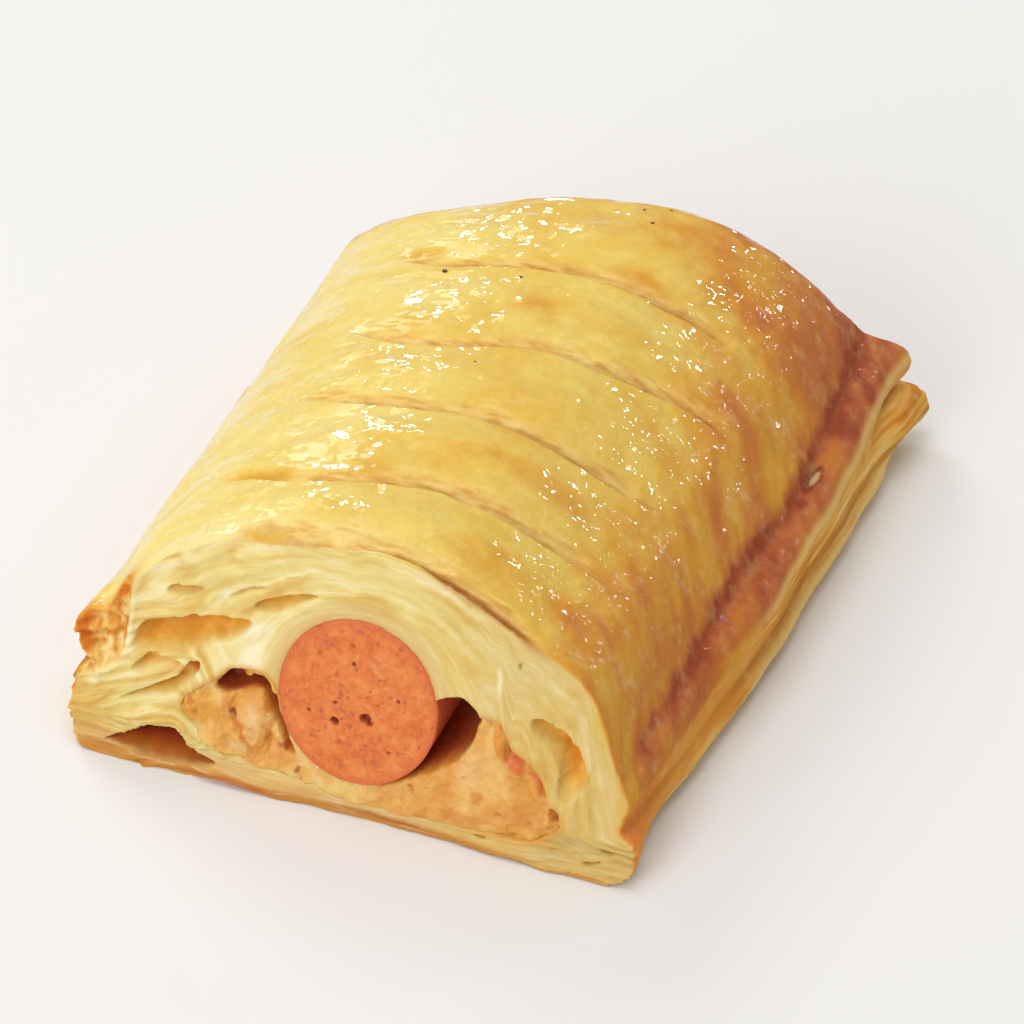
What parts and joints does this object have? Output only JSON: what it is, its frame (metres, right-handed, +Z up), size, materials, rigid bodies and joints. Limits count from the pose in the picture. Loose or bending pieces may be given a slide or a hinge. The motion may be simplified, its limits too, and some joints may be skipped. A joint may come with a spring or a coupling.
{
  "type": "sausage roll",
  "caption": "Cut half of a baked sausage roll: glazed puff pastry with slashes across its top, wrapped round a frankfurter and a soft orange filling.",
  "frame": {"origin": "middle of the footprint, on the surface the roll lies on", "axes": "+Y along the roll from its cut end to its own closed end, +X to the side whose rim is baked darkest, +Z up"},
  "size_m": [0.0794, 0.098, 0.0352],
  "materials": {
    "pastry": "egg-washed puff pastry, baked golden; stands in for food",
    "filling": "soft, grainy, orange; stands in for food",
    "sausage": "fine smooth meat, moist; stands in for food"
  },
  "bodies": {
    "root": {"pastry": "pastry", "filling": "filling", "sausage": "sausage"}
  },
  "joints": []
}
